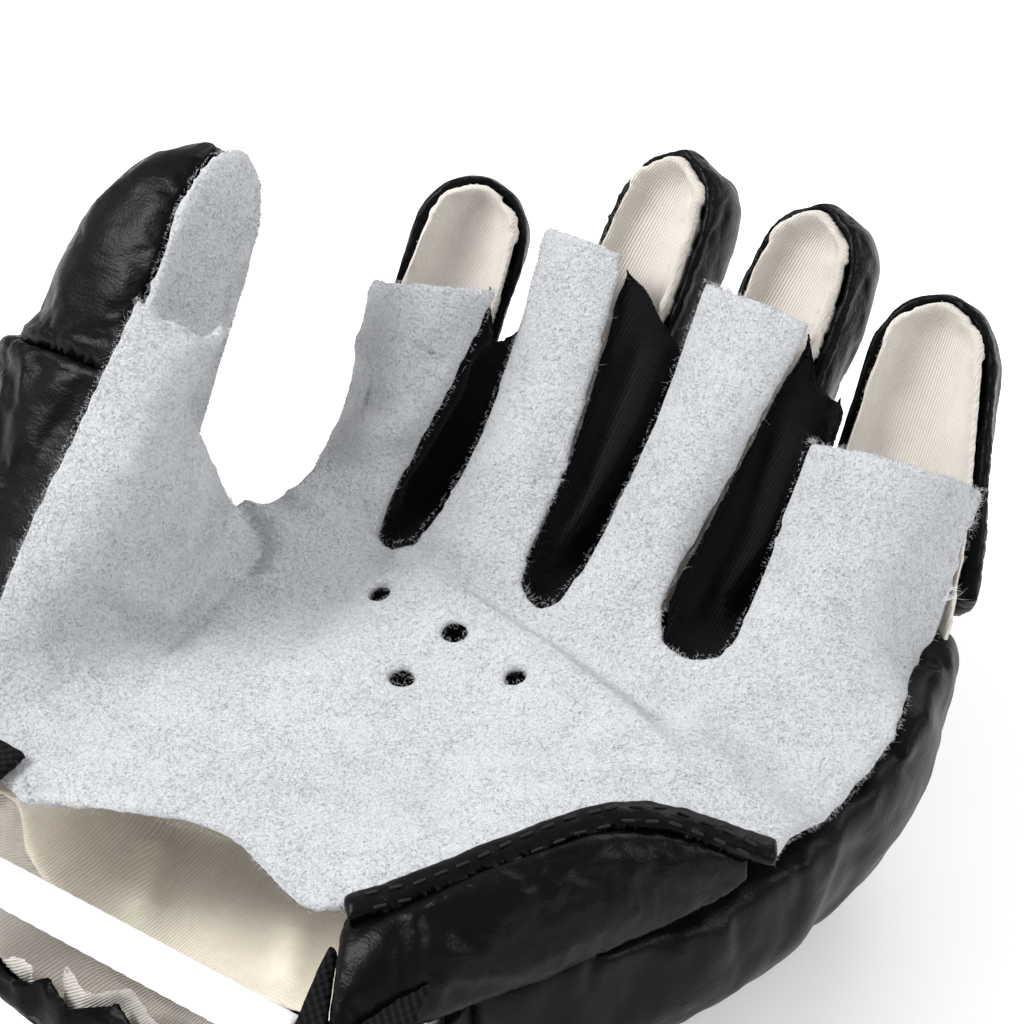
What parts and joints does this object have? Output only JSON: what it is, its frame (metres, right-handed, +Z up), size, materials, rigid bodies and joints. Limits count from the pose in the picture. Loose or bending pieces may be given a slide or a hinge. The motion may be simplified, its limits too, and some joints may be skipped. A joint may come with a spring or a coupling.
{
  "type": "padded martial arts glove",
  "caption": "Padded open-finger martial arts glove for the left hand in black leather with a pale grey suede palm, lying palm up with its fingers curled.",
  "frame": {"origin": "under the middle of the glove's box, on the surface that it lies on", "axes": "+X to the little finger, +Y from the wrist to the fingertips, +Z up out of the palm"},
  "size_m": [0.1638, 0.1764, 0.1089],
  "materials": {
    "suede": "matte",
    "leather": "satin",
    "twill": "matte",
    "knit": "matte",
    "tape": "matte",
    "webbing": "matte"
  },
  "bodies": {
    "root": {"palm_suede": "suede", "index_back": "leather", "middle_back": "leather", "ring_back": "leather", "little_back": "leather", "index_lining": "twill", "middle_lining": "twill", "ring_lining": "twill", "little_lining": "twill", "gusset_index_middle": "knit", "gusset_middle_ring": "knit", "gusset_ring_little": "knit", "hand_back": "leather", "hand_lining": "twill", "thumb_back_lower": "leather", "thumb_back_upper": "leather", "thumb_tip_suede": "suede", "heel_pad": "leather", "heel_welt": "leather", "cuff": "leather", "cuff_lining": "twill", "wrist_tape": "tape", "webbing_little_side": "webbing", "webbing_thumb_side": "webbing"}
  },
  "joints": []
}
